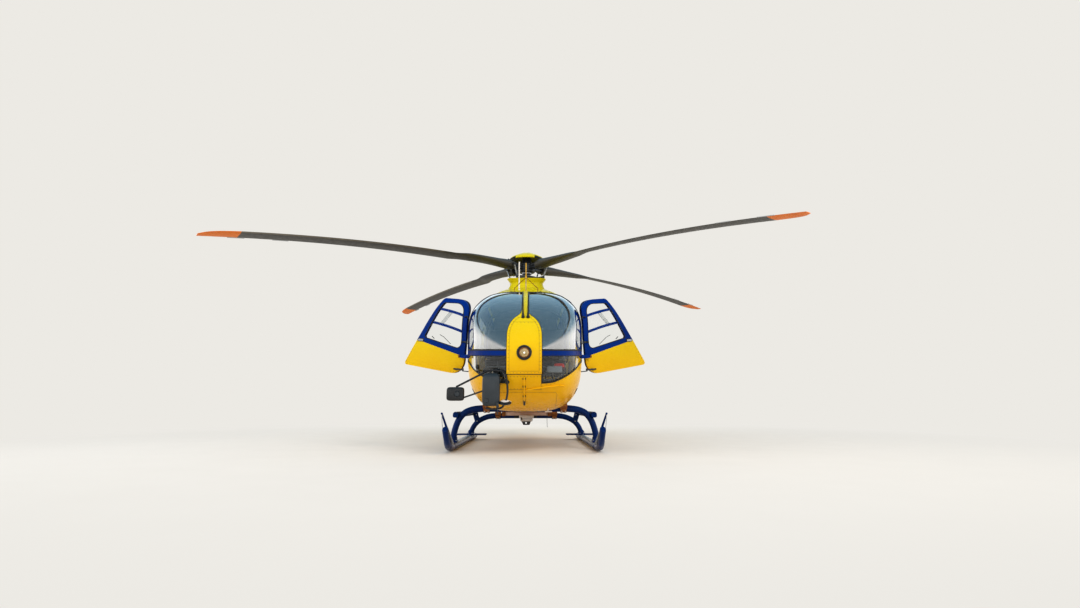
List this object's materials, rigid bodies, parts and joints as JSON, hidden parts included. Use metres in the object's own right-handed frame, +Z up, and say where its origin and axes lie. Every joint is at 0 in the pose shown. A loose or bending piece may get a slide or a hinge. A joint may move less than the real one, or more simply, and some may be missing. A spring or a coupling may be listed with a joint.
{
  "type": "light twin-engine helicopter",
  "caption": "Light twin-engine helicopter on skids, with a glazed cabin, hinged doors, a hingeless main rotor and a ducted tail fan.",
  "frame": {"origin": "on the ground, below the middle of the bounding box", "axes": "+X to the aircraft's left, +Y to its tail, +Z up"},
  "size_m": [8.2078, 11.1358, 3.5],
  "materials": {
    "yellow_paint": "gloss",
    "blue_paint": "gloss",
    "gear_paint": "satin",
    "clear_glazing": "gloss",
    "blade_paint": "satin",
    "dark_trim": "matte",
    "grey_trim": "satin",
    "avionics": "matte",
    "machinery": "satin",
    "exhaust_metal": "satin",
    "hook_paint": "satin",
    "lamp_metal": "gloss",
    "seat_cloth": "matte"
  },
  "bodies": {
    "fuselage": {"cockpit_frame": "blue_paint", "nose_fairing": "yellow_paint", "landing_lamp": "lamp_metal", "lower_hull": "yellow_paint", "cabin_roof": "yellow_paint", "cowling": "yellow_paint", "mast_fairing": "yellow_paint", "engines_and_gearbox": "machinery", "tail_boom": "yellow_paint", "fan_shroud": "yellow_paint", "fan_stator": "grey_trim", "fin": "yellow_paint", "stabiliser": "yellow_paint", "cabin_floor": "grey_trim", "instrument_panel": "avionics", "rear_seats": "seat_cloth", "cross_tube_front": "gear_paint", "cross_tube_rear": "gear_paint", "cargo_hook": "hook_paint", "mirror_frame": "dark_trim", "windshield_left": "clear_glazing", "windshield_right": "clear_glazing", "chin_window_left": "clear_glazing", "chin_window_right": "clear_glazing", "side_wall_left": "blue_paint", "side_wall_right": "blue_paint", "quarter_window_left": "clear_glazing", "quarter_window_right": "clear_glazing", "sliding_door_left": "yellow_paint", "sliding_door_right": "yellow_paint", "sliding_door_glass_left": "clear_glazing", "sliding_door_glass_right": "clear_glazing", "exhaust_left": "exhaust_metal", "exhaust_right": "exhaust_metal", "end_plate_left": "yellow_paint", "end_plate_right": "yellow_paint", "front_seat_left": "seat_cloth", "front_seat_right": "seat_cloth", "skid_left": "gear_paint", "skid_right": "gear_paint", "step_left": "gear_paint", "step_right": "gear_paint"},
    "main_rotor": {"rotor_mast": "machinery", "rotor_hub": "machinery", "rotor_cap": "yellow_paint", "rotor_blade_1": "blade_paint", "rotor_blade_2": "blade_paint", "rotor_blade_3": "blade_paint", "rotor_blade_4": "blade_paint"},
    "tail_rotor": {"tail_fan": "grey_trim"},
    "door_front_left": {"front_door_left": "blue_paint", "front_door_glass_left": "clear_glazing"},
    "door_front_right": {"front_door_right": "blue_paint", "front_door_glass_right": "clear_glazing"},
    "door_rear_left": {"rear_door_left": "yellow_paint", "rear_door_glass_left": "clear_glazing"},
    "door_rear_right": {"rear_door_right": "yellow_paint", "rear_door_glass_right": "clear_glazing"}
  },
  "joints": [
    {"name": "main_rotor_spin", "type": "hinge", "parent": "fuselage", "child": "main_rotor", "pos_m": [0, -1.4766, 3.132], "axis": [0, -0.0304, 0.9995], "continuous": true},
    {"name": "tail_fan_spin", "type": "hinge", "parent": "fuselage", "child": "tail_rotor", "pos_m": [-0.028, 4.52339, 1.85], "axis": [1, 0, 0], "continuous": true},
    {"name": "front_door_left_hinge", "type": "hinge", "parent": "fuselage", "child": "door_front_left", "pos_m": [0.8, -3.72661, 1.35], "axis": [-0.1159, 0, 0.9933], "range_deg": [0, 65]},
    {"name": "front_door_right_hinge", "type": "hinge", "parent": "fuselage", "child": "door_front_right", "pos_m": [-0.8, -3.72661, 1.35], "axis": [-0.1159, 0, -0.9933], "range_deg": [0, 65]},
    {"name": "rear_door_left_hinge", "type": "hinge", "parent": "fuselage", "child": "door_rear_left", "pos_m": [0.762, 0.3434, 1.35], "axis": [0, 0, -1], "range_deg": [0, 110]},
    {"name": "rear_door_right_hinge", "type": "hinge", "parent": "fuselage", "child": "door_rear_right", "pos_m": [-0.762, 0.3434, 1.35], "axis": [0, 0, 1], "range_deg": [0, 110]}
  ]
}
